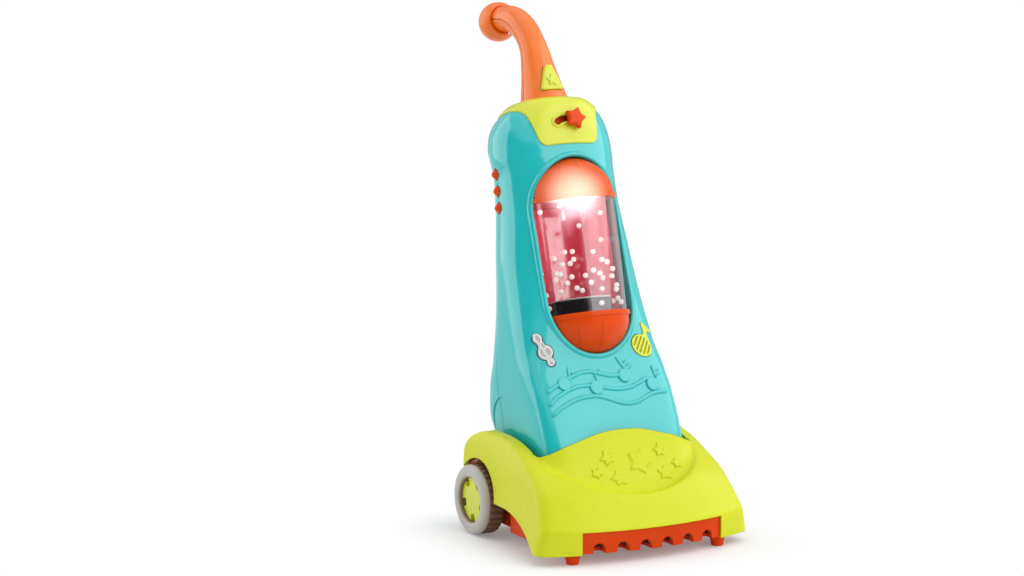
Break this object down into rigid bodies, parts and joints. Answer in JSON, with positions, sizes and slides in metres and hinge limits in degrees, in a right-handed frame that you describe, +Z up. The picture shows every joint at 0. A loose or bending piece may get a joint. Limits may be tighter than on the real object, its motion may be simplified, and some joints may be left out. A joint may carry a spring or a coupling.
{
  "type": "toy upright vacuum cleaner",
  "caption": "Toy upright vacuum cleaner: wheeled floor head, reclining body with a clear bead canister, bent handle, push buttons and a swinging star lever.",
  "frame": {"origin": "on the floor under the middle of the axle", "axes": "+Z up, front of the head towards -Y, +X to the right seen from the front"},
  "size_m": [0.236, 0.3525, 0.518],
  "materials": {
    "lime": "glossy moulded plastic",
    "teal": "glossy moulded plastic",
    "orange": "glossy moulded plastic",
    "tyre_grey": "satin soft plastic",
    "clear": "clear polished plastic",
    "crimson": "printed foil on plastic",
    "off_white": "glossy moulded plastic",
    "ivory": "foam and plastic beads",
    "dark_plastic": "satin",
    "steel": "zinc plated",
    "cell": "printed sleeve",
    "motor_can": "plated can",
    "board": "solder mask",
    "lamp": "clear lens"
  },
  "bodies": {
    "head": {"head_cover": "lime", "base_plate": "orange", "glide_foot_left": "orange", "glide_foot_right": "orange", "axle_rod": "steel", "base_screws": "steel", "hinge_washer_left": "dark_plastic", "hinge_washer_right": "dark_plastic"},
    "wheel_left": {"tyre_left": "tyre_grey", "hub_left": "lime"},
    "wheel_right": {"tyre_right": "tyre_grey", "hub_right": "lime"},
    "upright": {"front_shell": "teal", "rear_shell": "teal", "pivot_chassis": "dark_plastic", "batteries": "cell", "battery_springs": "steel", "battery_door": "teal", "battery_screw": "steel", "canister_tube": "clear", "canister_liner": "crimson", "top_dome": "orange", "bottom_dome": "orange", "drive_motor": "motor_can", "beads": "ivory", "led_lamp": "lamp", "circuit_board": "board", "speaker": "dark_plastic", "top_cap": "lime", "star_pin": "steel", "handle_front": "orange", "handle_rear": "orange", "handle_knob": "orange", "handle_screws": "steel", "note_grille": "lime", "body_screws": "steel"},
    "agitator": {"agitator": "dark_plastic", "agitator_shaft": "steel"},
    "star": {"star_lever": "orange"},
    "handle_button": {"handle_button": "lime"},
    "clef_button": {"clef_button": "off_white"},
    "side_button_top": {"side_button_top": "orange"},
    "side_button_middle": {"side_button_middle": "orange"},
    "side_button_bottom": {"side_button_bottom": "orange"}
  },
  "joints": [
    {"name": "recline", "type": "hinge", "parent": "head", "child": "upright", "pos_m": [0, -0.016, 0.072], "axis": [-1, 0, 0], "range_deg": [0, 40]},
    {"name": "wheel_left_spin", "type": "hinge", "parent": "head", "child": "wheel_left", "pos_m": [-0.104, 0, 0.035], "axis": [-1, 0, 0], "continuous": true},
    {"name": "wheel_right_spin", "type": "hinge", "parent": "head", "child": "wheel_right", "pos_m": [0.104, 0, 0.035], "axis": [-1, 0, 0], "continuous": true},
    {"name": "agitator_spin", "type": "hinge", "parent": "upright", "child": "agitator", "pos_m": [0, -0.02097, 0.22345], "axis": [0, 0.2588, 0.9659], "continuous": true},
    {"name": "star_swing", "type": "hinge", "parent": "upright", "child": "star", "pos_m": [0, 0.00242, 0.39131], "axis": [0, -0.9205, 0.3907], "range_deg": [-12, 54]},
    {"name": "handle_button_press", "type": "slide", "parent": "upright", "child": "handle_button", "axis": [0, 0.9184, -0.3955], "range_m": [0, 0.0015], "stiffness_N_per_m": 600},
    {"name": "clef_button_press", "type": "slide", "parent": "upright", "child": "clef_button", "axis": [0.2669, 0.8064, -0.5277], "range_m": [0, 0.0015], "stiffness_N_per_m": 600},
    {"name": "side_button_top_press", "type": "slide", "parent": "upright", "child": "side_button_top", "axis": [1, 0, 0], "range_m": [0, 0.0015], "stiffness_N_per_m": 600},
    {"name": "side_button_middle_press", "type": "slide", "parent": "upright", "child": "side_button_middle", "axis": [1, 0, 0], "range_m": [0, 0.0015], "stiffness_N_per_m": 600},
    {"name": "side_button_bottom_press", "type": "slide", "parent": "upright", "child": "side_button_bottom", "axis": [1, 0, 0], "range_m": [0, 0.0015], "stiffness_N_per_m": 600}
  ]
}
